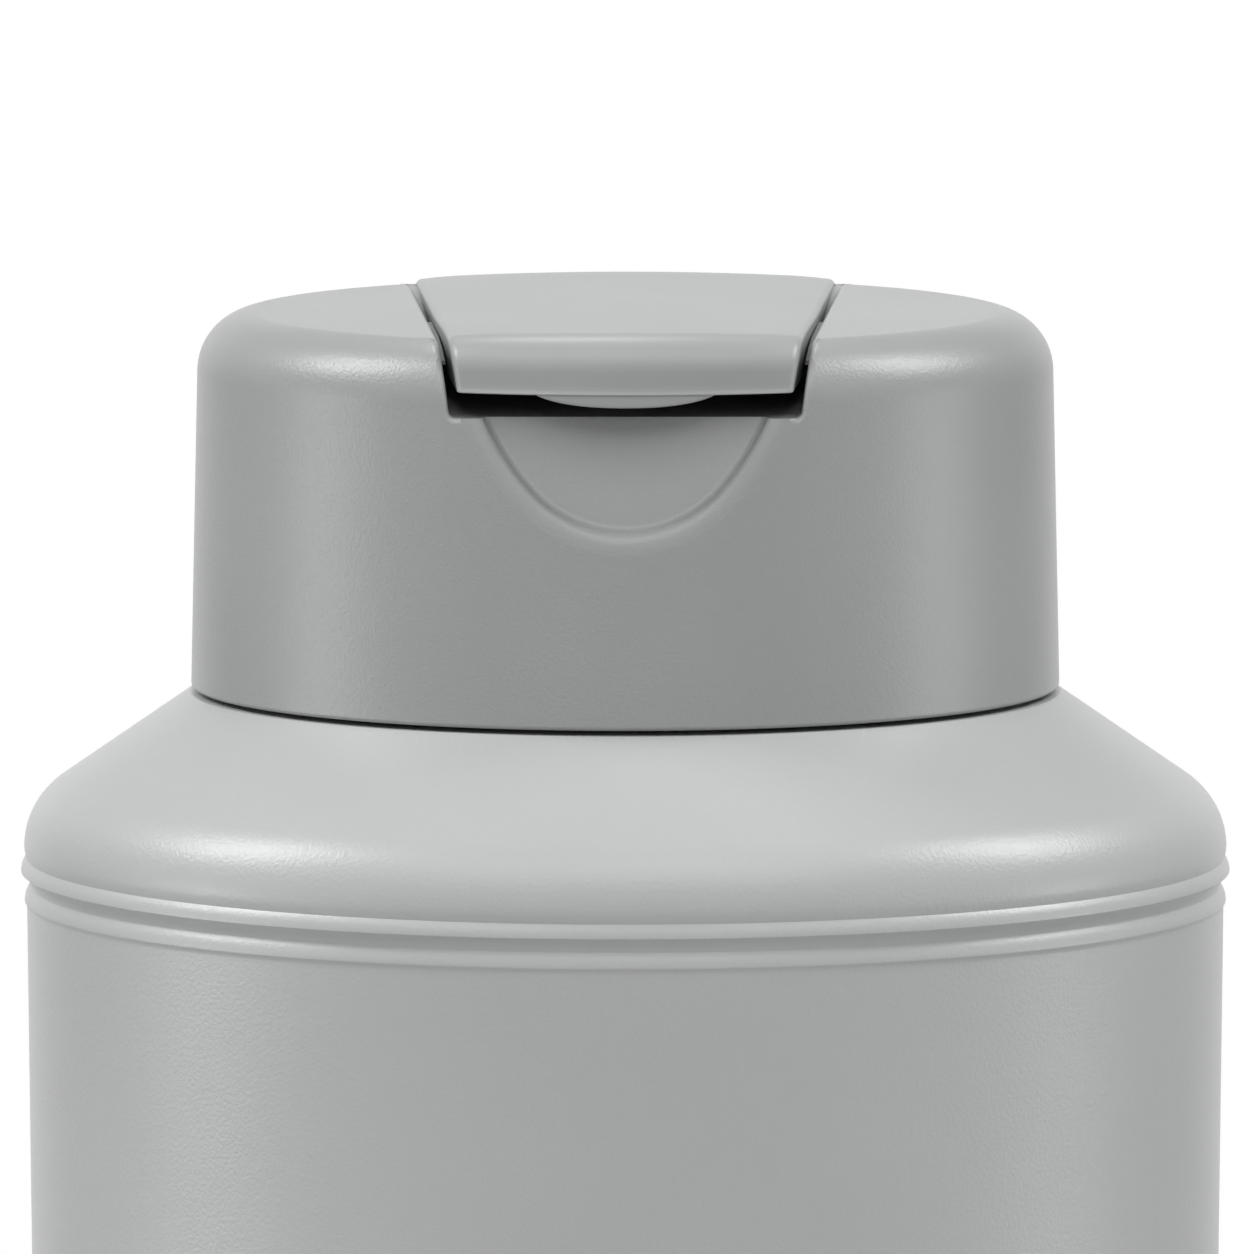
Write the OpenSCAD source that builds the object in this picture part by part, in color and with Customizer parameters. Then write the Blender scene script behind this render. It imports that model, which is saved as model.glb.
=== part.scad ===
// Squeeze bottle for dashboard polish, with a screw cap and a flip lid.
// Lengths in mm, +Z up, front is -Y, origin under the middle of the base.

/* [Show] */
// Which piece to build

/* [Bottle] */
// Height of the plain wall, base to the double bead
body_h = 119; // [90:1:150]
// Diameter of the plain wall at its top
body_d = 59.86; // [58.5:0.02:60.4]
// Diameter of the plain wall at the heel
base_d = 57.4; // [55:0.1:59]
// Thickness of the blown wall
bottle_wall = 1.1; // [0.8:0.1:1.8]
// Radius of the heel
heel_r = 4; // [2.5:0.5:5]
// Depth of the hollow under the base
push_up_h = 2.2; // [1:0.1:3]
// Bore of the neck
neck_bore_d = 21.2; // [18:0.2:21.6]

/* [Cap] */
// Diameter of the cap at its lower rim
cap_rim_d = 43.46; // [43:0.02:43.6]
// Diameter of the cap under the rounding
cap_top_d = 42.76; // [42.4:0.02:43]
// Height of the cap
cap_h = 18.84; // [18.6:0.02:19.2]
// Radius round the top edge
cap_round_r = 3; // [2:0.1:3.2]
// Thickness of the moulded wall
cap_wall = 1.4; // [1.1:0.1:1.6]
// Depth of the lid channel
channel_depth = 3.64; // [3.5:0.02:3.8]
// Bore of the pour hole
pour_d = 3.8; // [3.6:0.1:5]

/* [Lid] */
// Half width of the lid at mid length
lid_half_w = 9.68; // [9.4:0.01:9.8]
// Gap each side of the lid
lid_gap = 0.43; // [0.3:0.01:0.5]
// Splay of each side of the lid and channel
splay_deg = 3.1; // [2.5:0.05:3.3]
// Mould draft of the lid and channel sides
draft_deg = 7; // [5:0.5:8]
// Depth of the thumb scoop at the channel floor
scoop_depth = 2.7; // [2.3:0.1:3.8]

/* [Hidden] */
$fn = 56;
arc_steps = 8;
wave_steps = 5;
past = 1;
far = 120;

// Base and plain wall of the bottle
wall_r = body_d / 2;
base_r = base_d / 2;
foot_w = 2.9;
foot_in_r = base_r - heel_r - foot_w;
hollow_slope = 4.2;
hollow_r = foot_in_r - hollow_slope;

// Double bead above the plain wall
bead_h = 2.4;
bead_low_crest_h = 0.5;
bead_pitch = 1.25;
bead_rise = 0.2;
bead_dip = 0.02;

// Shoulder, from the bead to the ledge that the cap stands over
shoulder_step = 0.13;
shoulder_r = wall_r + shoulder_step;
shoulder_wall_h = 0.9;
shoulder_round_r = 3.75;
shoulder_slope_deg = 34.4;
shoulder_round_cx = shoulder_r - shoulder_round_r;
shoulder_round_z = body_h + bead_h + shoulder_wall_h;
shoulder_turn_deg = 90 - shoulder_slope_deg;
cone_low_r = shoulder_round_cx + shoulder_round_r * cos(shoulder_turn_deg);
cone_low_z = shoulder_round_z + shoulder_round_r * sin(shoulder_turn_deg);
ledge_reach = 0.18;
ledge_r = cap_rim_d / 2 + ledge_reach;
ledge_z = cone_low_z + (cone_low_r - ledge_r) * tan(shoulder_slope_deg);

// Neck
neck_wall = 2.1;
neck_bore_r = neck_bore_d / 2;
neck_r = neck_bore_r + neck_wall;
neck_h = 13.1;
neck_root_r = 0.9;
neck_edge = 0.35;
neck_top_z = ledge_z + neck_h;
throat_flare = 2.6;

// Levels of the cap
rim_gap = 0.25;
cap_z = ledge_z + rim_gap;
cap_top_z = cap_z + cap_h;
deck_z = cap_top_z - channel_depth;
deck_wall = 1.3;
deck_under_z = deck_z - deck_wall;
wing_wall = 1.3;
rim_edge = 0.2;
cap_round_cx = cap_top_d / 2 - cap_round_r;
cap_round_z = cap_top_z - cap_round_r;

// Sealing washer between the neck and the cap
washer_h = deck_under_z - neck_top_z;
thread_room = 1.25;
skirt_bore_r = neck_r + thread_room;
washer_side_gap = 0.35;
washer_r = skirt_bore_r - washer_side_gap;
washer_bore_gap = 0.3;
washer_bore_r = neck_bore_r + washer_bore_gap;

// Threaded skirt inside the cap, plain here
skirt_wall = 1.4;
skirt_r = skirt_bore_r + skirt_wall;
skirt_low_h = 2.6;

// Pour hole and its spout
pour_r = pour_d / 2;
spout_wall = 1.5;
spout_h = 1;
spout_edge = 0.3;

// Channel for the lid
channel_half_w = lid_half_w + lid_gap;
channel_wall = 1.3;

// Thumb scoop in the front of the cap
scoop_h = 5.13;
scoop_round_r = 6;
scoop_side_r = 24;
scoop_turn_deg = 48;
scoop_step = 1.05;
scoop_pan_wall = 1.2;
scoop_low_z = deck_z - scoop_h;
scoop_front_in = 0.2;
scoop_front_y = scoop_front_in - cap_rim_d / 2;
scoop_lean_deg = atan((scoop_depth - scoop_step) / scoop_h);
scoop_side_x = (scoop_side_r - scoop_round_r) * sin(scoop_turn_deg);
scoop_side_z = scoop_round_r + (scoop_side_r - scoop_round_r) * cos(scoop_turn_deg);
scoop_join_z = scoop_round_r * (1 - cos(scoop_turn_deg));

// Top, flap and lip of the lid
crown_r = 180;
lid_proud = 0.53;
lid_top_z = cap_top_z + lid_proud;
lid_wall = 1.3;
crown_drop = 0.25;
lid_under_z = lid_top_z - lid_wall - crown_drop;
flap_inset = 0.1;
flap_r = cap_top_d / 2 - flap_inset;
flap_round_r = 1.8;
flap_wall = 1.2;
flap_clear = 1.25;
flap_low_z = deck_z + flap_clear;
flap_round_cx = flap_r - flap_round_r;
crown_cut = 0.06;
flap_round_z = lid_top_z + crown_cut - flap_round_r;
lip_half_w = 4.3;
lip_h = 0.62;
lip_set_back = 0.2;
lip_wall = 0.95;

// Hinge of the lid
hinge_in = 5.38;
hinge_y = cap_top_d / 2 - hinge_in;
hinge_drop = 2.04;
hinge_z = cap_top_z - hinge_drop;
knuckle_r = 2.1;
well_gap = 0.3;
well_r = lid_top_z - hinge_z + well_gap;
well_wall = 1.2;
pin_r = 1;
pin_fit = 0.05;
knuckle_half_w = lid_half_w + hinge_y * tan(splay_deg);
pad_gap = 0.08;
pad_x = knuckle_half_w + pad_gap;
pad_drop = 0.1;
pad_r = hinge_drop - pad_drop;
pin_reach = 1.2;
pin_end_x = knuckle_half_w + pin_reach;
pin_end_gap = 0.25;
socket_end_x = pin_end_x + pin_end_gap;
boss_wall = 1;

// Plug under the lid that shuts the pour hole
plug_gap = 0.25;
plug_taper = 0.25;
plug_wall = 0.95;
plug_r = pour_r - plug_gap;
plug_tip_r = plug_r - plug_taper;
plug_core_r = plug_r - plug_wall;
plug_dip = 0.8;
plug_tip_h = 0.6;

function arc(cx, cz, r, from, to) =
    [for (i = [0 : arc_steps]) let (a = from + (to - from) * i / arc_steps)
        [cx + r * cos(a), cz + r * sin(a)]];

function wave(r0, r1, z0, z1) =
    [for (i = [0 : wave_steps]) let (s = i / wave_steps)
        [r0 + (r1 - r0) * (1 - cos(180 * s)) / 2, z0 + (z1 - z0) * s]];

// Outline of the outside of the bottle, from the axis under the base up to the neck
function bottle_skin() = concat(
    [[0, push_up_h], [hollow_r, push_up_h], [foot_in_r, 0]],
    arc(base_r - heel_r, heel_r, heel_r, -90, 0),
    wave(wall_r, wall_r + bead_rise, body_h, body_h + bead_low_crest_h),
    wave(wall_r + bead_rise, wall_r - bead_dip,
        body_h + bead_low_crest_h, body_h + bead_low_crest_h + bead_pitch / 2),
    wave(wall_r - bead_dip, shoulder_r + bead_rise,
        body_h + bead_low_crest_h + bead_pitch / 2, body_h + bead_low_crest_h + bead_pitch),
    wave(shoulder_r + bead_rise, shoulder_r,
        body_h + bead_low_crest_h + bead_pitch, body_h + bead_h),
    arc(shoulder_round_cx, shoulder_round_z, shoulder_round_r, 0, shoulder_turn_deg),
    [[ledge_r, ledge_z]],
    arc(neck_r + neck_root_r, ledge_z + neck_root_r, neck_root_r, -90, -180),
    [[neck_r, neck_top_z - neck_edge], [neck_r - neck_edge, neck_top_z]]);

// Outline of the inside of the bottle, from the neck down to the floor
function bottle_inside() = concat(
    [[neck_bore_r, neck_top_z], [neck_bore_r, ledge_z],
        [neck_bore_r + throat_flare, ledge_z - bottle_wall],
        [ledge_r - bottle_wall, ledge_z - bottle_wall]],
    arc(shoulder_round_cx, shoulder_round_z, shoulder_round_r - bottle_wall, shoulder_turn_deg, 0),
    arc(base_r - heel_r, heel_r + bottle_wall, heel_r - bottle_wall, 0, -90),
    [[foot_in_r, 2 * bottle_wall], [hollow_r, push_up_h + bottle_wall], [0, push_up_h + bottle_wall]]);

module bottle() {
    color("#b9bbba")
    rotate_extrude()
    polygon(concat(bottle_skin(), bottle_inside()));
}

module sealing_washer() {
    color("#e9e9e4")
    translate([0, 0, neck_top_z])
    difference() {
        cylinder(h = washer_h, r = washer_r);
        translate([0, 0, -past])
        cylinder(h = washer_h + 2 * past, r = washer_bore_r);
    }
}

// Space between the two leaning, splayed sides that the lid and its channel share
module between_sides(half_w) {
    intersection_for (side = [0, 1]) {
        mirror([side, 0, 0])
        translate([half_w, 0, cap_top_z])
        rotate([0, draft_deg, -splay_deg])
        translate([-far, -far, -far])
        cube([far, 2 * far, 2 * far]);
    }
}

// The same space from one level up to another
module strap(half_w, z0, z1) {
    intersection() {
        between_sides(half_w);
        translate([-far / 2, -far / 2, z0])
        cube([far, far, z1 - z0]);
    }
}

// The cap's outer form, solid
module cap_form() {
    rotate_extrude()
    polygon(concat(
        [[0, cap_z], [cap_rim_d / 2 - rim_edge, cap_z], [cap_rim_d / 2, cap_z + rim_edge]],
        arc(cap_round_cx, cap_round_z, cap_round_r, 0, 90),
        [[0, cap_top_z]]));
}

// The hollow under the cap's wall and wings
module cap_hollow() {
    rotate_extrude()
    polygon(concat(
        [[0, cap_z - past], [cap_rim_d / 2 - cap_wall, cap_z - past]],
        arc(cap_round_cx, cap_round_z, cap_round_r - wing_wall, 0, 90),
        [[0, cap_top_z - wing_wall]]));
}

// Front view of the thumb scoop, from its low point up
module scoop_outline(grow) {
    translate([0, scoop_round_r])
    circle(r = scoop_round_r + grow);
    intersection() {
        translate([-scoop_side_x, scoop_side_z])
        circle(r = scoop_side_r + grow);
        translate([scoop_side_x, scoop_side_z])
        circle(r = scoop_side_r + grow);
        translate([-scoop_side_r, scoop_join_z])
        square([2 * scoop_side_r, scoop_side_z - scoop_join_z]);
    }
}

// The scoop's space, in front of a floor that leans back going up
module scoop(grow) {
    intersection() {
        translate([0, 0, scoop_low_z])
        rotate([90, 0, 0])
        linear_extrude(height = far)
        scoop_outline(grow);
        translate([0, scoop_front_y + scoop_step + grow, scoop_low_z])
        rotate([-scoop_lean_deg, 0, 0])
        translate([-far / 2, -far, -far / 2])
        cube([far, far, far]);
    }
}

// A bar along the hinge line
module hinge_bar(r, half_w) {
    translate([-half_w, hinge_y, hinge_z])
    rotate([0, 90, 0])
    cylinder(h = 2 * half_w, r = r);
}

// Round pads on the channel's sides, with the sockets of the lid's pins
module hinge_pads() {
    difference() {
        hinge_bar(pad_r, far / 2);
        hinge_bar(pad_r + past, pad_x);
    }
}

module screw_cap() {
    color("#8f9190")
    difference() {
        union() {
            difference() {
                cap_form();
                cap_hollow();
            }
            intersection() {
                cap_form();
                union() {
                    strap(channel_half_w + channel_wall, deck_under_z, cap_top_z);
                    hinge_bar(well_r + well_wall, channel_half_w + channel_wall);
                    hinge_bar(pin_r + pin_fit + boss_wall, socket_end_x + boss_wall);
                    intersection() {
                        scoop(scoop_pan_wall);
                        translate([-far / 2, -far, cap_z])
                        cube([far, far, deck_z - cap_z]);
                    }
                }
            }
            translate([0, 0, cap_z + skirt_low_h])
            cylinder(h = cap_top_z - wing_wall / 2 - cap_z - skirt_low_h, r = skirt_r);
            translate([0, 0, deck_z - deck_wall / 2])
            cylinder(h = deck_wall / 2 + spout_h - spout_edge, r = pour_r + spout_wall);
            translate([0, 0, deck_z + spout_h - spout_edge])
            cylinder(h = spout_edge, r1 = pour_r + spout_wall, r2 = pour_r + spout_wall - spout_edge);
        }
        translate([0, 0, cap_z - past])
        cylinder(h = deck_under_z - cap_z + past, r = skirt_bore_r);
        difference() {
            strap(channel_half_w, deck_z, cap_top_z + past);
            translate([0, 0, deck_z - past])
            cylinder(h = spout_h + past - spout_edge, r = pour_r + spout_wall);
            translate([0, 0, deck_z + spout_h - spout_edge])
            cylinder(h = spout_edge, r1 = pour_r + spout_wall, r2 = pour_r + spout_wall - spout_edge);
            hinge_pads();
        }
        hinge_bar(well_r, pad_x);
        scoop(0);
        translate([0, 0, deck_under_z - past])
        cylinder(h = channel_depth + deck_wall, r = pour_r);
        hinge_bar(pin_r + pin_fit, socket_end_x);
    }
}

// The lid's outer form, solid, from the flap's lower edge up
module lid_form(inset) {
    rotate_extrude()
    polygon(concat(
        [[0, flap_low_z - past], [flap_r - inset, flap_low_z - past]],
        arc(flap_round_cx, flap_round_z, flap_round_r - inset, 0, 90),
        [[0, lid_top_z + crown_cut - inset]]));
}

// The gently crowned bar that sets the height of the lid's top
module crown() {
    translate([0, far / 2, lid_top_z - crown_r])
    rotate([90, 0, 0])
    cylinder(h = far, r = crown_r, $fn = 360);
}

module flip_lid() {
    color("#949695")
    difference() {
        union() {
            intersection() {
                lid_form(0);
                crown();
                strap(lid_half_w, flap_low_z, lid_top_z + past);
                translate([-far / 2, hinge_y - far, 0])
                cube([far, far, 2 * far]);
            }
            hinge_bar(knuckle_r, knuckle_half_w);
            hinge_bar(pin_r, pin_end_x);
            intersection() {
                translate([0, 0, flap_low_z])
                rotate([90, 0, 0])
                linear_extrude(height = far)
                polygon(concat(
                    [[lip_half_w, lid_under_z - flap_low_z], [-lip_half_w, lid_under_z - flap_low_z]],
                    [for (i = [0 : 2 * arc_steps]) let (a = 180 + 180 * i / (2 * arc_steps))
                        [lip_half_w * cos(a), lip_h * sin(a)]]));
                translate([0, 0, flap_low_z - lip_h - past])
                difference() {
                    cylinder(h = far, r = flap_r - lip_set_back);
                    translate([0, 0, -past])
                    cylinder(h = far + 2 * past, r = flap_r - lip_set_back - lip_wall);
                }
            }
        }
        intersection() {
            lid_form(flap_wall);
            strap(lid_half_w - flap_wall, flap_low_z - past, lid_under_z);
            translate([-far / 2, hinge_y - knuckle_r - far, 0])
            cube([far, far, 2 * far]);
        }
    }
    color("#949695")
    difference() {
        union() {
            translate([0, 0, deck_z - plug_dip + plug_tip_h])
            cylinder(h = lid_under_z + lid_wall / 2 - deck_z + plug_dip - plug_tip_h, r = plug_r);
            translate([0, 0, deck_z - plug_dip])
            cylinder(h = plug_tip_h, r1 = plug_tip_r, r2 = plug_r);
        }
        translate([0, 0, deck_z - plug_dip - past])
        cylinder(h = lid_under_z - deck_z + plug_dip + past, r = plug_core_r);
    }
}

bottle();
sealing_washer();
screw_cap();
flip_lid();
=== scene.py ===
"""A squeeze bottle for dashboard polish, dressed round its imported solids.

Blown polyethylene bottle, soft sealing washer, moulded screw cap and flip lid, at rest as in the
photograph: cap screwed down, lid shut. Metres, +Z up, front towards -Y.
"""

from math import asin, atan, cos, degrees, pi, radians, sin, sqrt, tan

import bmesh
import bpy
from mathutils import Matrix, Vector


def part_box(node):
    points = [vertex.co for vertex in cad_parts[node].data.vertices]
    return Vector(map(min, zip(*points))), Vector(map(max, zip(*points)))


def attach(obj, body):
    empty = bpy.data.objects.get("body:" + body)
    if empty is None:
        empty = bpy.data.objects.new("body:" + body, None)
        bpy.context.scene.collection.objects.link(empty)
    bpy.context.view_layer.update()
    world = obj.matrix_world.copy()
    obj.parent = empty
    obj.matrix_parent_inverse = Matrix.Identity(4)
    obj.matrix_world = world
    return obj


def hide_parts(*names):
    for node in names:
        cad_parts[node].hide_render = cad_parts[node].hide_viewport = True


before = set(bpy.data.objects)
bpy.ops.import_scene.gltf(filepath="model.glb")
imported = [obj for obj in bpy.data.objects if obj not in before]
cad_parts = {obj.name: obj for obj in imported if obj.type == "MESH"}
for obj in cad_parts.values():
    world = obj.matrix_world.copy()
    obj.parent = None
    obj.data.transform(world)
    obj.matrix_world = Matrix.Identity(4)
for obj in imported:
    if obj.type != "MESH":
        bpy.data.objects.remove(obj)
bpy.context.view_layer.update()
scene = bpy.context.scene
MM = 0.001

# Camera. A long lens about a metre away, some 5 degrees above the cap, with the cap's lower rim
# just under the middle of the square frame and the bottle running out of the frame below.
cap_low, cap_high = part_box("screw_cap")
camera_away = 1000 * MM
camera_above_cap = 87.5 * MM
aim_right, aim_above_rim = 0.085 * MM, 2.9 * MM
aim = Vector((aim_right, 0, cap_low.z + aim_above_rim))

camera_data = bpy.data.cameras.new("camera")
camera_data.sensor_fit = "HORIZONTAL"
camera_data.sensor_width = 36
camera_data.lens = 577
camera_data.clip_end = 50
camera = bpy.data.objects.new("camera", camera_data)
scene.collection.objects.link(camera)
camera.location = (aim.x, -camera_away, cap_high.z + camera_above_cap)
camera.rotation_euler = (aim - camera.location).to_track_quat("-Z", "Y").to_euler()
scene.camera = camera

# Bottle. Blown in one piece from polyethylene: a plain wall that tapers to the base, a double bead
# at its top, a sloped shoulder, a flat ledge that the cap hides, and an open neck. The base is
# pushed up inside a flat standing ring.
bottle_steps = 224
bottle_wall = 1.1
body_h = 119
wall_r, base_r, heel_r = 29.95, 28.7, 4
shoulder_r, shoulder_round_r, shoulder_slope = 30.09, 3.95, radians(34.4)
ledge_r, ledge_z = 21.91, 129.858
neck_r, neck_bore_r, neck_top_z = 12.7, 10.6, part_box("bottle")[1].z / MM
neck_edge, neck_fillet, ledge_edge = 0.35, 0.9, 0.25
foot_r, foot_edge, hollow_r, hollow_edge, push_up = 21.8, 0.8, 17.6, 1.5, 2.2


def arc(cx, cz, r, start, end, steps):
    """Points of an arc in a half section, by angle from straight out."""
    turns = [radians(start + (end - start) * i / steps) for i in range(steps + 1)]
    return [(cx + r * cos(t), cz + r * sin(t)) for t in turns]


def bead(foot_r, foot_z, crest_r, crest_z, top_r, top_z):
    """A bead's half section going up: a hollow out from its foot, a tight crest and a rounded top."""
    out, rise = crest_r - foot_r, crest_z - foot_z
    hollow = [(foot_r + out * s ** 2, foot_z + rise * s) for s in (0, 0.2, 0.4, 0.6, 0.8, 0.9, 0.98)]
    back, up = crest_r - top_r, top_z - crest_z
    round_r = (back * back + up * up) / (2 * back)
    return hollow + arc(crest_r - round_r, crest_z, round_r, 0.5, degrees(2 * atan(back / up)), 9)


def spun(outline, steps, first_turn=0.0):
    """A half section in mm, closed or from axis to axis, spun into a closed skin."""
    bm = bmesh.new()
    out_x, out_y = cos(first_turn), sin(first_turn)
    points = [bm.verts.new((r * MM * out_x, r * MM * out_y, z * MM)) for r, z in outline]
    for a, b in zip(points, points[1:] + points[:1]):
        if a.co.xy.length > 0 or b.co.xy.length > 0:
            bm.edges.new((a, b))
    bmesh.ops.spin(bm, geom=bm.verts[:] + bm.edges[:], cent=(0, 0, 0), axis=(0, 0, 1),
                   angle=2 * pi, steps=steps, use_merge=True)
    bmesh.ops.remove_doubles(bm, verts=bm.verts[:], dist=0.0005 * MM)
    bmesh.ops.recalc_face_normals(bm, faces=bm.faces[:])
    return bm


def piece(name, bm, material, sharp=35):
    """The finished mesh as an object of its own, smooth but for edges sharper than an angle."""
    mesh = bpy.data.meshes.new(name)
    bm.to_mesh(mesh)
    bm.free()
    mesh.shade_smooth()
    mesh.set_sharp_from_angle(angle=radians(sharp))
    mesh.materials.clear()
    mesh.materials.append(material)
    obj = bpy.data.objects.new(name, mesh)
    scene.collection.objects.link(obj)
    return obj


# Each bead's heights are those of its foot, its crest and its top.
lower_crest, upper_crest, groove_r = wall_r + 0.12, wall_r + 0.3, wall_r - 0.17
lower_foot_z, lower_crest_z, lower_top_z = body_h + 0.08, body_h + 0.38, body_h + 1.15
upper_foot_z, upper_crest_z, upper_top_z = body_h + 1.17, body_h + 1.87, body_h + 2.57
shoulder_cx, shoulder_z = shoulder_r - shoulder_round_r, body_h + 3.08
shoulder_turn = 90 - degrees(shoulder_slope)
under_ledge, inside_z = ledge_z - bottle_wall, push_up + bottle_wall

bottle_skin = [(0, push_up)] + arc(hollow_r - hollow_edge, push_up - hollow_edge, hollow_edge, 90, 62, 4)
bottle_skin += arc(foot_r + foot_edge, foot_edge, foot_edge, 242, 270, 4)
bottle_skin += arc(base_r - heel_r, heel_r, heel_r, -90, 0, 16)
bottle_skin += bead(wall_r, lower_foot_z, lower_crest, lower_crest_z, groove_r, lower_top_z)
bottle_skin += bead(groove_r, upper_foot_z, upper_crest, upper_crest_z, shoulder_r - 0.1, upper_top_z)
bottle_skin += [(shoulder_r - 0.09, body_h + 2.6), (shoulder_r - 0.02, body_h + 2.9)]
bottle_skin += arc(shoulder_cx, shoulder_z, shoulder_round_r, 0, shoulder_turn, 18)
bottle_skin += arc(ledge_r - 0.2, ledge_z - 0.24, ledge_edge, 60, 90, 3)
bottle_skin += arc(neck_r + neck_fillet, ledge_z + neck_fillet, neck_fillet, 270, 180, 8)
bottle_skin += arc(neck_r - neck_edge, neck_top_z - neck_edge, neck_edge, 0, 90, 5)
bottle_skin += arc(neck_bore_r + neck_edge, neck_top_z - neck_edge, neck_edge, 90, 180, 5)
bottle_skin += [(neck_bore_r, ledge_z + 0.5), (neck_bore_r + 0.4, ledge_z - 0.2)]
bottle_skin += [(neck_bore_r + 2.6, under_ledge), (ledge_r - bottle_wall, under_ledge)]
bottle_skin += arc(shoulder_cx, shoulder_z, shoulder_round_r - bottle_wall, shoulder_turn, 0, 10)
bottle_skin += arc(base_r - heel_r, heel_r + bottle_wall, heel_r - bottle_wall, 0, -90, 10)
bottle_skin += [(foot_r, 2 * bottle_wall), (hollow_r, inside_z), (0, inside_z)]


def linear(hex_colour):
    """An sRGB hex colour as a linear RGBA tuple."""
    parts = [int(hex_colour[i:i + 2], 16) / 255 for i in (1, 3, 5)]
    return (*(c / 12.92 if c <= 0.04045 else ((c + 0.055) / 1.055) ** 2.4 for c in parts), 1)


def add(tree, kind, settings=None, **sockets):
    """Adds a node, with its settings, and its sockets set to a value or linked from an output."""
    made = tree.nodes.new(kind)
    for key, value in (settings or {}).items():
        setattr(made, key, value)
    for key, value in sockets.items():
        socket = made.inputs[int(key[1:])] if key[1:].isdigit() else made.inputs[key.replace("_", " ")]
        if isinstance(value, bpy.types.NodeSocket):
            tree.links.new(value, socket)
        else:
            socket.default_value = value
    return made


def new_material(name):
    """An empty node material with its principled shader and output."""
    material = bpy.data.materials.new(name)
    material.use_nodes = True
    tree = material.node_tree
    tree.nodes.clear()
    shader = add(tree, "ShaderNodeBsdfPrincipled")
    add(tree, "ShaderNodeOutputMaterial", Surface=shader.outputs["BSDF"])
    return material, tree, shader


def grained_plastic(name, ior, tones, drift_mm, grain_mm, mix, roughness, bump_mm, strength):
    """A plastic whose colour drifts between two tones and whose skin has the mould's fine grain."""
    material, tree, shader = new_material(name)
    place = add(tree, "ShaderNodeTexCoord").outputs["Object"]
    grain = add(tree, "ShaderNodeTexNoise", Vector=place, Scale=1 / (grain_mm * MM), Detail=2.0,
                Roughness=mix)
    drift = add(tree, "ShaderNodeTexNoise", Vector=place, Scale=1 / (drift_mm * MM), Detail=3.0)
    tone = add(tree, "ShaderNodeValToRGB", Fac=drift.outputs["Fac"])
    for stop, position, tint in zip(tone.color_ramp.elements, (0.3, 0.7), tones):
        stop.position = position
        stop.color = linear(tint)
    least, most = roughness
    gloss = add(tree, "ShaderNodeMapRange", Value=grain.outputs["Fac"], To_Min=least, To_Max=most)
    bump = add(tree, "ShaderNodeBump", Height=grain.outputs["Fac"], Distance=bump_mm * MM,
               Strength=strength)
    tree.links.new(tone.outputs["Color"], shader.inputs["Base Color"])
    tree.links.new(gloss.outputs["Result"], shader.inputs["Roughness"])
    tree.links.new(bump.outputs["Normal"], shader.inputs["Normal"])
    shader.inputs["IOR"].default_value = ior
    return material


# Blown polyethylene, light grey: a soft satin skin taken from a blasted mould, so highlights are
# broad and break into a fine grain. The grain is about 0.2 mm, and the colour drifts a little.
bottle_plastic = grained_plastic("blown_polyethylene_light_grey", ior=1.5, tones=("#b4b6b5", "#b9bbba"),
                                 drift_mm=25, grain_mm=0.2, mix=0.6, roughness=(0.29, 0.39),
                                 bump_mm=0.026, strength=0.9)

bottle = piece("bottle_shell", spun(bottle_skin, bottle_steps), bottle_plastic, sharp=40)
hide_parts("bottle")
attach(bottle, "bottle")

# Neck thread. One right-hand ridge of a turn and a half, blown with the neck, running out to
# nothing at both ends.
thread_pitch, thread_height, thread_steps = 4.0, 0.95, 150
thread_sunk, sunk_half, root_half, crest_half = 0.4, 1.05, 0.95, 0.4
fade_rate, fade_least, fade_dip = 9, 0.02, 0.3
neck_thread_z, neck_thread_turns = 134.6, 1.5


def ridge(root_r, low_z, turns, inside):
    """A helical ridge standing out of a cylinder, or into it, thinned out at its ends."""
    bm = bmesh.new()
    side = -1 if inside else 1
    section = [(-thread_sunk, sunk_half), (0, root_half), (thread_height, crest_half)]
    section += [(d, -z) for d, z in reversed(section)]
    points = [bm.verts.new(((root_r + side * d) * MM, 0, (low_z + z) * MM)) for d, z in section]
    bm.faces.new(points)
    bmesh.ops.spin(bm, geom=bm.verts[:] + bm.edges[:] + bm.faces[:], cent=(0, 0, 0), axis=(0, 0, 1),
                   dvec=(0, 0, thread_pitch * turns * MM / thread_steps),
                   angle=2 * pi * turns, steps=thread_steps)
    bmesh.ops.recalc_face_normals(bm, faces=bm.faces[:])
    top_z = low_z + thread_pitch * turns
    for v in bm.verts:
        share = (v.co.z / MM - low_z) / (top_z - low_z)
        fade = min(1, max(fade_least, min(share, 1 - share) * fade_rate))
        r = v.co.xy.length / MM
        stand = side * (r - root_r)
        if stand > 0:
            v.co.xy *= (root_r + side * (stand * fade - fade_dip * (1 - fade))) / r
    return bm


neck_ridge = ridge(neck_r, neck_thread_z, neck_thread_turns, inside=False)
neck_thread = piece("neck_thread", neck_ridge, bottle_plastic, sharp=50)
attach(neck_thread, "bottle")

# Sealing washer. A soft ring punched from foamed polyethylene sheet, held under the cap's deck and
# pressed on the neck's land.
washer_low, washer_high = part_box("sealing_washer")
washer_r, washer_bore_r, washer_edge = 13.6, 10.9, 0.12
low, high = washer_low.z / MM, washer_high.z / MM
washer_outline = arc(washer_r - washer_edge, low + washer_edge, washer_edge, -90, 0, 4)
washer_outline += arc(washer_r - washer_edge, high - washer_edge, washer_edge, 0, 90, 4)
washer_outline += arc(washer_bore_r + washer_edge, high - washer_edge, washer_edge, 90, 180, 4)
washer_outline += arc(washer_bore_r + washer_edge, low + washer_edge, washer_edge, 180, 270, 4)

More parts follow.
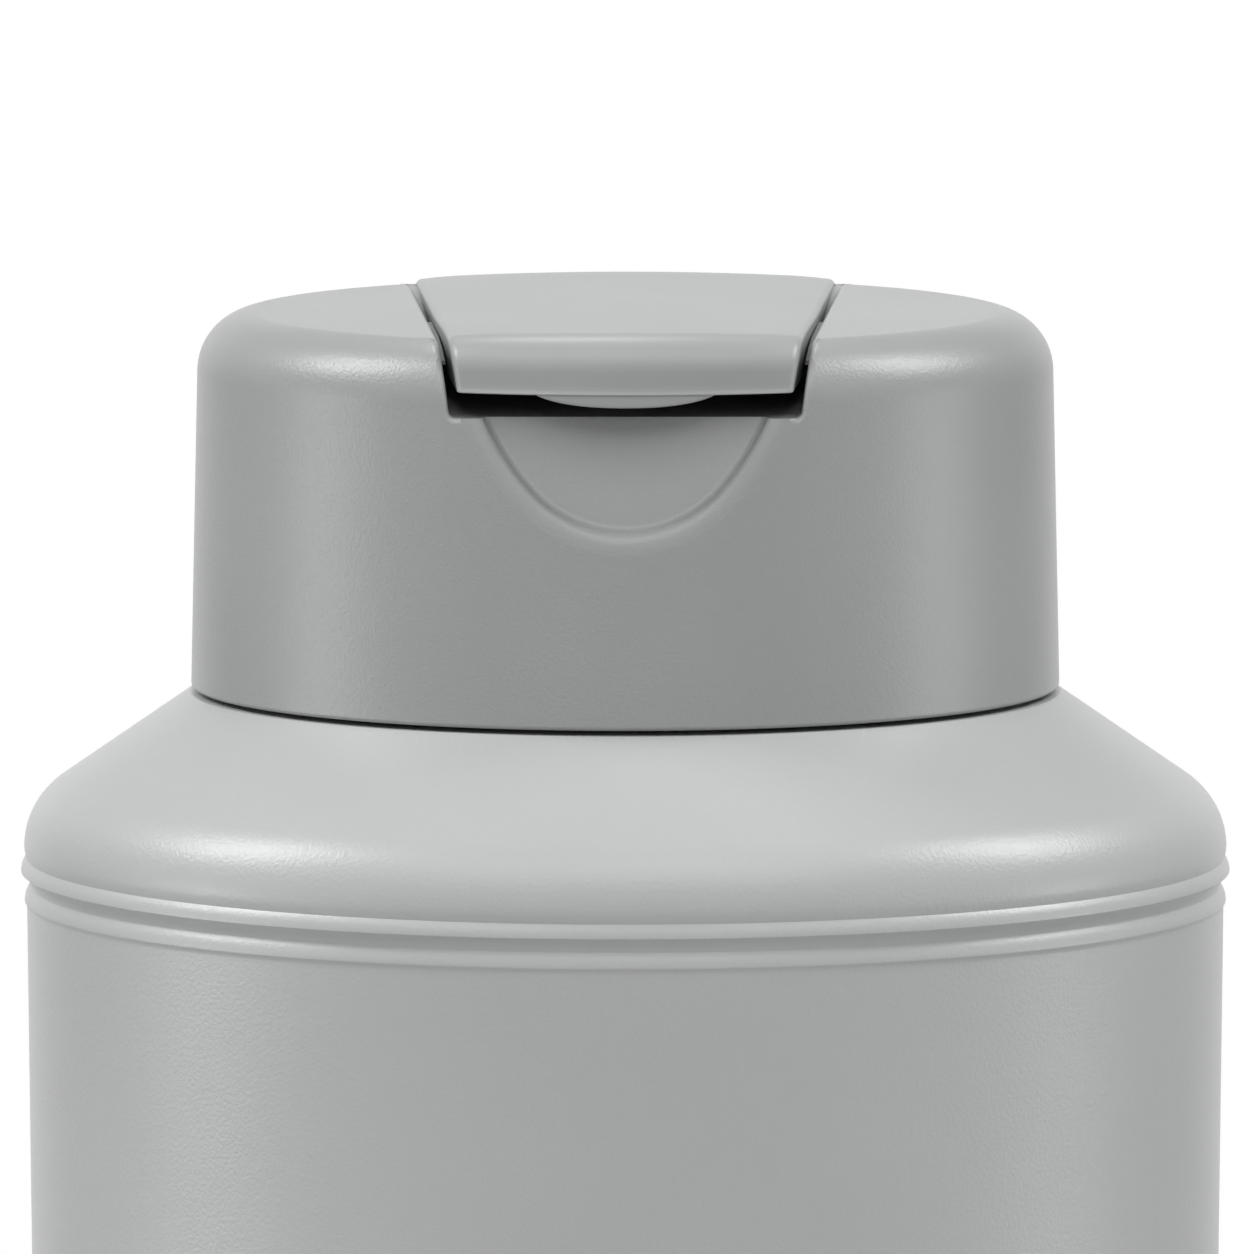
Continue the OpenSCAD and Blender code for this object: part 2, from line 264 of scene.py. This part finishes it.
# Foamed polyethylene, off-white: dull, with cells of about 0.3 mm.
washer_foam, tree, shader = new_material("foamed_polyethylene_off_white")
place = add(tree, "ShaderNodeTexCoord").outputs["Object"]
cells = add(tree, "ShaderNodeTexVoronoi", Vector=place, Scale=1 / (0.3 * MM))
tone = add(tree, "ShaderNodeValToRGB", Fac=cells.outputs["Distance"])
tone.color_ramp.elements[0].color = linear("#e4e4de")
tone.color_ramp.elements[1].color = linear("#efefea")
bump = add(tree, "ShaderNodeBump", Height=cells.outputs["Distance"], Distance=0.02 * MM, Strength=0.5)
tree.links.new(tone.outputs["Color"], shader.inputs["Base Color"])
tree.links.new(bump.outputs["Normal"], shader.inputs["Normal"])
shader.inputs["Roughness"].default_value = 0.8

washer = piece("washer_ring", spun(washer_outline, steps=96), washer_foam)
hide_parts("sealing_washer")
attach(washer, "washer")

# Screw cap. Moulded in one piece from polypropylene: a drafted round wall, two wings with a channel
# for the lid between them, a thumb scoop in front, a spout in the channel's floor, a well for the
# lid's knuckle behind, and a threaded skirt inside.
cap_steps = 128
cap_z, cap_top = cap_low.z / MM, cap_high.z / MM
cap_rim_r, cap_top_r, cap_round_r = 21.71, 21.38, 3.0
deck_z, deck_under_z = cap_top - 3.64, cap_top - 4.94
skirt_r, skirt_bore_r, cap_wall = 15.35, 13.95, 1.4
round_cx, round_z = cap_top_r - cap_round_r, cap_top - cap_round_r
hollow_z, hollow_round = cap_z + 8, 0.6
skirt_z, skirt_edge = cap_z + 2.9, 0.3
rim_edge, rim_bore_r, rim_bore_edge = 0.22, cap_rim_r - cap_wall, 0.12

cap_outline = [(0, deck_under_z), (skirt_bore_r, deck_under_z)]
cap_outline += arc(skirt_bore_r + skirt_edge, skirt_z, skirt_edge, 180, 270, 4)
cap_outline += arc(skirt_r - skirt_edge, skirt_z, skirt_edge, -90, 0, 4)
cap_outline += arc(skirt_r + hollow_round, hollow_z - hollow_round, hollow_round, 180, 90, 4)
cap_outline += arc(rim_bore_r - 0.9, hollow_z - hollow_round, hollow_round, 90, 0, 4)
cap_outline += arc(rim_bore_r + rim_bore_edge, cap_z + rim_bore_edge, rim_bore_edge, 180, 270, 4)
cap_outline += arc(cap_rim_r - rim_edge, cap_z + rim_edge, rim_edge, -90, 0, 6)
cap_outline += arc(round_cx, round_z, cap_round_r, 0, 90, 20)
cap_outline += [(0, cap_top)]

lid_half_w, lid_gap = 9.68, 0.43
splay, draft = radians(3.1), radians(7)


def half_width(middle, y, z):
    """Half the width between the leaning, splayed sides at a place along and up them, in mm."""
    return middle + y * tan(splay) + (z - cap_top) * tan(draft) / cos(splay)


def bare(name, bm, slots=3):
    """A working object for a cut: skin in slot 0, faces of a main cut in 1, of a small one in 2."""
    mesh = bpy.data.meshes.new(name)
    bm.to_mesh(mesh)
    bm.free()
    for _ in range(slots):
        mesh.materials.append(None)
    obj = bpy.data.objects.new(name, mesh)
    scene.collection.objects.link(obj)
    return obj


def cut(target, tool, operation="DIFFERENCE"):
    """Cuts a working object with another, or joins them, and takes the tool away."""
    change = target.modifiers.new("cut", "BOOLEAN")
    change.operation, change.solver, change.object = operation, "EXACT", tool
    change.material_mode = "INDEX"
    graph = bpy.context.evaluated_depsgraph_get()
    made = bpy.data.meshes.new_from_object(target.evaluated_get(graph))
    target.modifiers.clear()
    target.data = made
    bpy.data.objects.remove(tool)


def as_cut(bm, slot=1):
    """Marks every face as a cut's."""
    for face in bm.faces:
        face.material_index = slot
    return bm


# The channel's tool: a block with leaning, splayed sides and rounded lower corners.
channel_half_w, channel_corner = lid_half_w + lid_gap, 0.3
tool_reach, tool_over = 30, 3
channel_tool = bmesh.new()
bmesh.ops.create_cube(channel_tool, size=1)
for v in channel_tool.verts:
    y = tool_reach if v.co.y > 0 else -tool_reach
    z = cap_top + tool_over if v.co.z > 0 else deck_z
    side = 1 if v.co.x > 0 else -1
    v.co = Vector((side * half_width(channel_half_w, y, z), y, z)) * MM
low_edges = [e for e in channel_tool.edges
             if all(v.co.z < (deck_z + 0.1) * MM for v in e.verts)
             and abs(e.verts[0].co.y - e.verts[1].co.y) > tool_reach * MM]
bmesh.ops.bevel(channel_tool, geom=low_edges, offset=channel_corner * MM, segments=4, profile=0.5,
                affect="EDGES", material=-1)

# The scoop's tool: a U seen from the front whose floor leans back going up. It is lofted through a row
# of U loops that round the rim over, go in square to the wall and turn into the floor.
scoop_low_z = deck_z - 5.63
scoop_round_r, scoop_side_r, scoop_turn, scoop_side_turn = 6.4, 14, 48, 24
scoop_step, scoop_depth, scoop_root_r, scoop_least_step = 1.0, 2.7, 0.35, 0.02
scoop_front_y = 0.2 - cap_rim_r
scoop_slope = (scoop_depth - scoop_step) / (deck_z - scoop_low_z)
side_x = (scoop_side_r - scoop_round_r) * sin(radians(scoop_turn))
side_z = scoop_round_r + (scoop_side_r - scoop_round_r) * cos(radians(scoop_turn))


def u_loop(grow):
    """The scoop's outline from its lowest point up, in mm, moved outwards by some amount."""
    join = scoop_turn - 90
    half = arc(0, scoop_round_r, scoop_round_r + grow, -90, join, 24)
    half += arc(-side_x, side_z, scoop_side_r + grow, join, join + scoop_side_turn, 20)[1:]
    half = [(x, scoop_low_z + z) for x, z in half]
    return [(-x, z) for x, z in reversed(half[1:])] + half


def wall_y(x, z):
    """Where the cap's front wall is."""
    r = cap_rim_r + (cap_top_r - cap_rim_r) * (z - cap_z) / (round_z - cap_z)
    return -sqrt(r * r - x * x)


def floor_y(z):
    """Where the scoop's floor is."""
    return scoop_front_y + scoop_step + scoop_slope * (z - scoop_low_z)


# The rim's section, in even steps out and in from the scoop's edge: a slow roll that tightens.
rim_steps, rim_run, rim_reach, rim_skim = 24, 1.3, 0.97, 0.012
rim_first_turn, rim_sweep, rim_tighten = 3, 80, 2.2
rim_step = rim_run / rim_steps
rim, grow, sink = [], rim_reach, rim_skim
for step in range(rim_steps + 1):
    rim.append((grow, sink))
    turn = radians(rim_first_turn + rim_sweep * ((step + 0.5) / rim_steps) ** rim_tighten)
    grow -= rim_step * cos(turn)
    sink += rim_step * sin(turn)
inner_grow, inner_sink = rim[-1]
loops = [[(x, -tool_reach, z) for x, z in u_loop(rim_reach)]]
for grow, sink in rim:
    loops.append([(x, wall_y(x, z) + sink, z) for x, z in u_loop(grow)])
for turn in range(0, 91, 15):
    grow = inner_grow + scoop_root_r * (cos(radians(turn)) - 1)
    rise = scoop_root_r * (1 - sin(radians(turn)))
    loops.append([(x, max(floor_y(z) - rise, wall_y(x, z) + inner_sink + scoop_least_step), z)
                  for x, z in u_loop(grow)])
around, along = len(loops[0]), len(loops) - 1
scoop_tool = bmesh.new()
bmesh.ops.create_grid(scoop_tool, x_segments=around, y_segments=along, size=1)
for v in scoop_tool.verts:
    step = round((v.co.x + 1) / 2 * around) % around
    v.co = Vector(loops[round((v.co.y + 1) / 2 * along)][step]) * MM
bmesh.ops.remove_doubles(scoop_tool, verts=scoop_tool.verts[:], dist=0.001 * MM)
bmesh.ops.holes_fill(scoop_tool, edges=scoop_tool.edges[:])
bmesh.ops.recalc_face_normals(scoop_tool, faces=scoop_tool.faces[:])

# The knuckle's well: a bar along the hinge line, as long as the channel is wide there.
lid_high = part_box("flip_lid")[1]
hinge_y, hinge_z = 16, cap_top - 2.04
well_r = lid_high.z / MM - hinge_z + 0.3
knuckle_half = lid_half_w + hinge_y * tan(splay)
pad_x, pad_r, pad_h = knuckle_half + 0.08, 1.94, 0.8


def add_bar(bm, r, length, middle_x, segments):
    """Adds a round bar along the hinge line, in mm, with its middle at a place across the cap."""
    place = Matrix.Translation((middle_x * MM, hinge_y * MM, hinge_z * MM))
    bmesh.ops.create_cone(bm, cap_ends=True, segments=segments, radius1=r * MM, radius2=r * MM,
                          depth=length * MM, matrix=place @ Matrix.Rotation(pi / 2, 4, "Y"))


well_tool = bmesh.new()
add_bar(well_tool, well_r, 2 * pad_x, 0, segments=64)

cap_round = spun(cap_outline, cap_steps, pi / cap_steps)
top_faces = [f for f in cap_round.faces if f.calc_center_median().z > cap_high.z - 0.01 * MM]
bmesh.ops.dissolve_faces(cap_round, faces=top_faces)
cap_work = bare("cap_work", cap_round)
cut(cap_work, bare("channel_tool", as_cut(channel_tool)))
cut(cap_work, bare("scoop_tool", as_cut(scoop_tool, 2)))

# Round pads on the channel's sides with the pin sockets, the knuckle's well, and the spout with its
# pour hole.
for side in (-1, 1):
    pad = bmesh.new()
    add_bar(pad, pad_r, pad_h, side * (pad_x + pad_h / 2), segments=72)
    cut(cap_work, bare("pad", as_cut(pad, 2)), "UNION")
cut(cap_work, bare("well_tool", as_cut(well_tool, 2)))
socket_r, socket_deep = 1.05, 1.45
socket_tool = bmesh.new()
add_bar(socket_tool, socket_r, 2 * (knuckle_half + socket_deep), 0, segments=48)
cut(cap_work, bare("socket_tool", as_cut(socket_tool, 2)))
pour_r, spout_wall, spout_h, spout_edge = 1.9, 1.5, 1, 0.3
spout_r, spout_top, spout_root = pour_r + spout_wall, deck_z + spout_h, deck_z - 0.6
spout_outline = arc(pour_r + spout_edge, spout_top - spout_edge, spout_edge, 180, 90, 4)
spout_outline += arc(spout_r - spout_edge, spout_top - spout_edge, spout_edge, 90, 0, 4)
spout_outline += arc(spout_r + spout_edge, deck_z + spout_edge, spout_edge, 180, 270, 4)
spout_outline += [(spout_r + spout_edge, spout_root), (pour_r, spout_root)]
cut(cap_work, bare("spout", as_cut(spun(spout_outline, steps=64), 2)), "UNION")
pour_tool, pour_length = bmesh.new(), 6
bmesh.ops.create_cone(pour_tool, cap_ends=True, segments=64, radius1=pour_r * MM, radius2=pour_r * MM,
                      depth=pour_length * MM, matrix=Matrix.Translation((0, 0, deck_z * MM)))
cut(cap_work, bare("pour_tool", as_cut(pour_tool, 2)))
cap_bm = bmesh.new()
cap_bm.from_mesh(cap_work.data)
bpy.data.objects.remove(cap_work)

# Every outward edge that the channel left is rounded, as the mould's edges are. The scoop's rim has
# its own roll.
cap_edge = 0.32
bmesh.ops.remove_doubles(cap_bm, verts=cap_bm.verts[:], dist=0.02 * MM)
rims = [e for e in cap_bm.edges
        if len(e.link_faces) == 2 and any(f.material_index == 1 for f in e.link_faces)
        and not any(f.material_index == 2 for f in e.link_faces)
        and e.is_convex and e.calc_face_angle(0) > radians(25)]
bmesh.ops.bevel(cap_bm, geom=rims, offset=cap_edge * MM, segments=4, profile=0.5, affect="EDGES",
                material=-1, clamp_overlap=False, loop_slide=False)

# Moulded polypropylene, mid grey: a spark-eroded grain of about 0.18 mm that frosts the highlights.
cap_plastic = grained_plastic("moulded_polypropylene_grey", ior=1.49, tones=("#9c9e9d", "#a0a2a1"),
                              drift_mm=12, grain_mm=0.18, mix=0.65, roughness=(0.28, 0.37),
                              bump_mm=0.026, strength=0.9)

cap = piece("cap_shell", cap_bm, cap_plastic, sharp=30)
weigh = cap.modifiers.new("weigh", "WEIGHTED_NORMAL")
weigh.keep_sharp = True
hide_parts("screw_cap")
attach(cap, "cap")

# Cap thread. The matching right-hand ridge inside the skirt, moulded with the cap in polypropylene,
# half a pitch off the neck's.
cap_thread_z, cap_thread_turns = 136.6, 1.25
cap_ridge = ridge(skirt_bore_r, cap_thread_z, cap_thread_turns, inside=True)
cap_thread = piece("cap_thread", cap_ridge, cap_plastic, sharp=50)
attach(cap_thread, "cap")

# Guide ribs. A low rib along each side of the channel, moulded with the cap, that keeps dirt out of
# the slot beside the lid. It is nearly flush at the back, dips at the middle, and is thin in front,
# where it runs out.
rib_gap, rib_bury, rib_steps = 0.08, 0.15, 60
rib_back, rib_front = 15, -13
rib_thin, rib_thick, rib_thicken = 0.2, 1, 5
rib_tops = [(15, 0.1), (12, 0.38), (10, 0.56), (8, 0.74), (6, 0.92), (4, 1.15), (2, 1.45),
            (1.2, 1.3), (0, 0.6), (-8, 0.66), (-11, 0.95), (-13, 1.4)]


def rib_top(y):
    """How far the rib's top lies under the wing's, read off its heights along the slot."""
    for (y0, low0), (y1, low1) in zip(rib_tops, rib_tops[1:]):
        if y >= y1:
            return low0 + (low1 - low0) * (y0 - y) / (y0 - y1)
    return rib_tops[-1][1]


def new_verts(made):
    """The vertices among what an operator made."""
    return [v for v in made["geom"] if isinstance(v, bmesh.types.BMVert)]


ribs_bm = bmesh.new()
for side in (-1, 1):
    rib = bmesh.ops.create_grid(ribs_bm, x_segments=1, y_segments=rib_steps, size=1)["verts"]
    for v in rib:
        y = rib_front + (rib_back - rib_front) * (v.co.y + 1) / 2
        z = cap_top - rib_top(y)
        if v.co.x < 0:
            x = half_width(lid_half_w, y, z) + rib_gap
        else:
            x = half_width(channel_half_w, y, z) + rib_bury
        v.co = Vector((side * x, y, z)) * MM
    faces = list({f for v in rib for f in v.link_faces})
    for v in new_verts(bmesh.ops.extrude_face_region(ribs_bm, geom=faces)):
        deep = (rib_thin + min(rib_thick, max(0, v.co.y / MM / rib_thicken))) * MM
        v.co += Vector((-side * deep * tan(draft), 0, -deep))
bmesh.ops.recalc_face_normals(ribs_bm, faces=ribs_bm.faces[:])
ribs = piece("slot_ribs", ribs_bm, cap_plastic, sharp=40)
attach(ribs, "cap")

# Flip lid. Moulded by itself in polypropylene: a crowned plate with leaning sides, a front flap bent
# down in one with it, a round knuckle behind, and a tray underneath. One side outline is drawn out
# across the lid in columns, which are then fitted to the splay, the crown and the cap's curve.
lid_top = lid_high.z / MM
flap_r, flap_low = 21.28, deck_z + 1.25
knuckle_r, lid_columns = 2.1, 40
knuckle_z = lid_top - knuckle_r
drop = flap_low - knuckle_z
under_band, under_lift = flap_low + 0.1, 0.12
flap_flare, crease_y, crease_z, flap_edge_r = 0.08, 2.1, 1.8, 0.06
crease_cy, crease_cz = flap_flare + crease_y - flap_r, lid_top - crease_z
lid_side = arc(-flap_r + flap_edge_r, flap_low + flap_edge_r, flap_edge_r, 270, 180, 4)
lid_side += [(flap_flare * 0.7 - flap_r, flap_low + 0.17), (flap_flare - flap_r, flap_low + 0.26)]
lid_side += [(flap_flare - flap_r, flap_low + 0.5)]
lid_side += [(crease_cy + crease_y * c, crease_cz + crease_z * s) for c, s in arc(0, 0, 1, 180, 90, 24)]
lid_side += [(y, lid_top) for y in (-17, -14, -10, -5, 0, 5, 10, 14)]
lid_side += arc(hinge_y, knuckle_z, knuckle_r, 90, -180 - degrees(asin(drop / knuckle_r)), 24)
lid_side += [(y, flap_low) for y in (12, 8, 4, 0, -5, -10, -15, -19)]

lid_bm = bmesh.new()
outline = [lid_bm.verts.new((-1, y * MM, z * MM)) for y, z in lid_side]
loop = [lid_bm.edges.new((a, b)) for a, b in zip(outline, outline[1:] + outline[:1])]
for column in range(lid_columns):
    made = bmesh.ops.extrude_edge_only(lid_bm, edges=loop)
    loop = [e for e in made["geom"] if isinstance(e, bmesh.types.BMEdge)]
    bmesh.ops.translate(lid_bm, vec=(2 / lid_columns, 0, 0), verts=new_verts(made))
for side in (-1, 1):
    end = [e for e in lid_bm.edges if e.is_boundary and e.verts[0].co.x * side > 0]
    bmesh.ops.contextual_create(lid_bm, geom=end)


def inward(y, z):
    """Which way the lid's thickness lies, seen from a point of its side outline."""
    if y > hinge_y or z < flap_low - 0.001:
        return (hinge_y - y) / knuckle_r, (knuckle_z - z) / knuckle_r
    if y < crease_cy and z > crease_cz:
        return (crease_cy - y) / crease_y, (crease_cz - z) / crease_z
    if y < 1 - flap_r:
        return 1, (0 if z > under_band else under_lift)
    return 0, (-1 if z > under_band else under_lift)


# The columns at each end roll the edge over, and the rest spread evenly from just inside it. The top
# falls away to the sides, and the front follows the cap's curve.
end_round, end_columns, end_support = 0.3, 6, 0.06
end_roll, end_roll_run, crown_r = 0.1, 2.4, 180
bend_start, bend_run = 4, 12
spread = lid_columns / 2 - end_columns - 1
for v in lid_bm.verts:
    column = round((v.co.x + 1) / 2 * lid_columns)
    y, z = v.co.y / MM, v.co.z / MM
    side = -1 if column < lid_columns / 2 else 1
    from_end = min(column, lid_columns - column)
    turn = radians(90 * (1 - min(1, from_end / end_columns)))
    half = half_width(lid_half_w, y, z)
    x = half - end_round * (1 - sin(turn))
    if from_end > end_columns:
        x = (x - end_support) * (1 - (from_end - end_columns - 1) / spread)
    in_y, in_z = inward(y, z)
    y += in_y * end_round * (1 - cos(turn))
    z += in_z * end_round * (1 - cos(turn))
    rise = min(1, max(0, (z - flap_low) / (lid_top - flap_low)))
    z -= rise * (x * x / (2 * crown_r) + end_roll * max(0, 1 - (half - x) / end_roll_run) ** 2)
    bend = min(1, max(0, (-y - bend_start) / bend_run))
    y += bend * bend * (3 - 2 * bend) * (flap_r - sqrt(flap_r ** 2 - x ** 2))
    v.co = Vector((side * x, y, z)) * MM
bmesh.ops.recalc_face_normals(lid_bm, faces=lid_bm.faces[:])

# The tray: the faces underneath, short of the flap, the knuckle and the sides, are pushed up.
tray_front, tray_back, tray_share, tray_rise = -19, 11.9, 0.9, 1.37
tray = []
for face in lid_bm.faces:
    at = face.calc_center_median() / MM
    front = tray_front + flap_r - sqrt(flap_r ** 2 - at.x ** 2)
    under = face.normal.z < -0.9 and at.z < under_band
    between = abs(at.x) < tray_share * half_width(lid_half_w, at.y, at.z)
    if under and between and front < at.y < tray_back:
        tray.append(face)
made = bmesh.ops.extrude_face_region(lid_bm, geom=tray)
bmesh.ops.delete(lid_bm, geom=tray, context="FACES_ONLY")
bmesh.ops.translate(lid_bm, vec=(0, 0, tray_rise * MM), verts=new_verts(made))
bmesh.ops.recalc_face_normals(lid_bm, faces=lid_bm.faces[:])

# Moulded polypropylene of the lid: the same grey with a finer, smoother skin, so highlights are even.
lid_plastic = grained_plastic("smooth_polypropylene_grey", ior=1.49, tones=("#9ea09f", "#a2a4a3"),
                              drift_mm=9, grain_mm=0.14, mix=0.6, roughness=(0.33, 0.4),
                              bump_mm=0.006, strength=0.5)

lid = piece("lid_plate", lid_bm, lid_plastic, sharp=35)
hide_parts("flip_lid")
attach(lid, "lid")

# Thumb lip. A thin tongue under the middle of the flap, set back a little and moulded with the lid in
# polypropylene, for a thumb in the scoop to push up.
lip_half_w, lip_h, lip_back, lip_wall = 4.35, 0.62, 0.1, 0.95
lip_tuck, lip_edge, lip_least, lip_square, lip_ease = 0.4, 0.12, 0.02, 2.4, 0.75
lip_bm = bmesh.new()
bmesh.ops.create_grid(lip_bm, x_segments=48, y_segments=5, size=1)
for v in lip_bm.verts:
    u, share = v.co.x, (1 - v.co.y) / 2
    x = lip_half_w * u
    hang = lip_h * max(lip_least, 1 - abs(u) ** lip_square) ** lip_ease
    z = flap_low + lip_tuck - share * (lip_tuck + hang)
    v.co = Vector((x, -sqrt((flap_r - lip_back) ** 2 - x * x), z)) * MM
made = bmesh.ops.extrude_face_region(lip_bm, geom=lip_bm.faces[:])
bmesh.ops.translate(lip_bm, vec=(0, lip_wall * MM, 0), verts=new_verts(made))
bmesh.ops.recalc_face_normals(lip_bm, faces=lip_bm.faces[:])
lip_edges = [e for e in lip_bm.edges if e.calc_face_angle(0) > radians(50)]
bmesh.ops.bevel(lip_bm, geom=lip_edges, offset=lip_edge * MM, segments=3, profile=0.5, affect="EDGES",
                material=-1, clamp_overlap=True)
lip = piece("thumb_lip", lip_bm, lid_plastic, sharp=50)
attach(lip, "lid")

# Plug. A short hollow peg under the lid, moulded with it in polypropylene and tapered at its end, that
# shuts the pour hole.
plug_r, plug_core_r, plug_low = 1.65, 0.7, deck_z - 0.8
plug_taper_in, plug_taper_h, plug_tip, plug_fillet = 0.45, 0.65, 0.2, 0.3
lid_under = flap_low + tray_rise
plug_outline = [(plug_core_r, lid_under + plug_fillet)]
plug_outline += [(plug_core_r, plug_low + 0.1), (plug_core_r + 0.1, plug_low)]
plug_outline += arc(plug_r - plug_taper_in, plug_low + plug_tip, plug_tip, -90, -20, 4)
plug_outline += [(plug_r, plug_low + plug_taper_h), (plug_r, lid_under - plug_fillet)]
plug_outline += arc(plug_r + plug_fillet, lid_under - plug_fillet, plug_fillet, 180, 90, 4)
plug_outline += [(plug_r + plug_fillet, lid_under + plug_fillet)]
plug = piece("pour_plug", spun(plug_outline, steps=64), lid_plastic, sharp=45)
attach(plug, "lid")

# Hinge pins. A stub at each end of the knuckle, moulded with the lid in polypropylene and rounded to
# snap into the cap's sockets.
pins_bm = bmesh.new()
pin_root, pin_end, pin_r, pin_edge = knuckle_half - 0.8, knuckle_half + 1.2, 1, 0.3
pin_middle = (pin_end + pin_root) / 2
for side in (-1, 1):
    add_bar(pins_bm, pin_r, pin_end - pin_root, side * pin_middle, segments=48)
tips = [e for e in pins_bm.edges
        if e.calc_face_angle(0) > radians(60) and abs(e.verts[0].co.x) > pin_middle * MM]
bmesh.ops.bevel(pins_bm, geom=tips, offset=pin_edge * MM, segments=4, profile=0.5, affect="EDGES",
                material=-1)
pins = piece("hinge_pins", pins_bm, lid_plastic, sharp=45)
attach(pins, "lid")

# Light. A broad softbox above the front, a fill from the camera's side, a box high and another low at
# each side, the low ones kept under the lid's level, and a small lamp behind for the lid's bend.
def softbox(name, place, width, height, power):
    """A rectangular lamp that faces the cap."""
    data = bpy.data.lights.new(name, "AREA")
    data.shape, data.size, data.size_y, data.energy = "RECTANGLE", width, height, power
    lamp = bpy.data.objects.new(name, data)
    scene.collection.objects.link(lamp)
    lamp.location = place
    lamp.rotation_euler = (Vector((0, 0, cap_low.z)) - lamp.location).to_track_quat("-Z", "Y").to_euler()


softbox("behind", (-0.07, 0.48, 0.91), 0.2, 0.1, 0.8)
softbox("key", (0, -0.68, 1.0), 1.4, 0.9, 8.3)
softbox("fill", (0, -1.3, 0.35), 1.4, 0.6, 3.7)
softbox("left", (-0.55, 0.06, 0.63), 0.25, 0.33, 3.3)
softbox("right", (0.55, 0.11, 0.63), 0.25, 0.33, 2.85)
softbox("left_low", (-0.75, -0.05, 0.07), 0.25, 0.13, 0.64)
softbox("right_low", (0.75, 0, 0.07), 0.25, 0.13, 0.54)

# Surroundings. A white sweep: the camera sees white all round, and reflections see it dimmed but for
# the part low behind the bottle. A pale round floor under the bottle takes its shadow.
world = bpy.data.worlds.new("white_room")
scene.world = world
world.use_nodes = True
tree = world.node_tree
tree.nodes.clear()
rays = add(tree, "ShaderNodeLightPath")
seen = add(tree, "ShaderNodeMath", {"operation": "MAXIMUM"}, _0=rays.outputs["Is Camera Ray"],
           _1=rays.outputs["Is Transmission Ray"])
seen = add(tree, "ShaderNodeMath", {"operation": "MAXIMUM"}, _0=seen.outputs[0],
           _1=rays.outputs["Is Glossy Ray"])
way = add(tree, "ShaderNodeTexCoord")
height = add(tree, "ShaderNodeSeparateXYZ", Vector=way.outputs["Generated"])
low = add(tree, "ShaderNodeMapRange", {"interpolation_type": "SMOOTHSTEP"}, Value=height.outputs["Z"],
          From_Min=0.16, From_Max=0.42, To_Min=1.0, To_Max=0.0)
behind = add(tree, "ShaderNodeMapRange", {"interpolation_type": "SMOOTHSTEP"}, Value=height.outputs["Y"],
             From_Min=0.7, From_Max=0.97, To_Min=0.0, To_Max=1.0)
sweep = add(tree, "ShaderNodeMath", {"operation": "MULTIPLY"}, _0=low.outputs["Result"],
            _1=behind.outputs["Result"])
sweep = add(tree, "ShaderNodeMapRange", Value=sweep.outputs[0], To_Min=0.3, To_Max=1.0)
open_view = add(tree, "ShaderNodeMath", {"operation": "MAXIMUM"}, _0=rays.outputs["Is Camera Ray"],
                _1=sweep.outputs["Result"])
room = add(tree, "ShaderNodeBackground", Color=(1, 1, 1, 1), Strength=0.1)
white = add(tree, "ShaderNodeBackground", Color=(1, 1, 1, 1), Strength=open_view.outputs[0])
both = add(tree, "ShaderNodeMixShader", _0=seen.outputs[0], _1=room.outputs[0], _2=white.outputs[0])
add(tree, "ShaderNodeOutputWorld", Surface=both.outputs[0])

floor_r = 300 * MM
floor_bm = bmesh.new()
bmesh.ops.create_circle(floor_bm, cap_ends=True, segments=96, radius=floor_r)
floor_paint, tree, shader = new_material("floor_white")
shader.inputs["Base Color"].default_value = linear("#c4c4c4")
shader.inputs["Roughness"].default_value = 0.9
floor = piece("floor", floor_bm, floor_paint)

scene.view_settings.view_transform = "Standard"
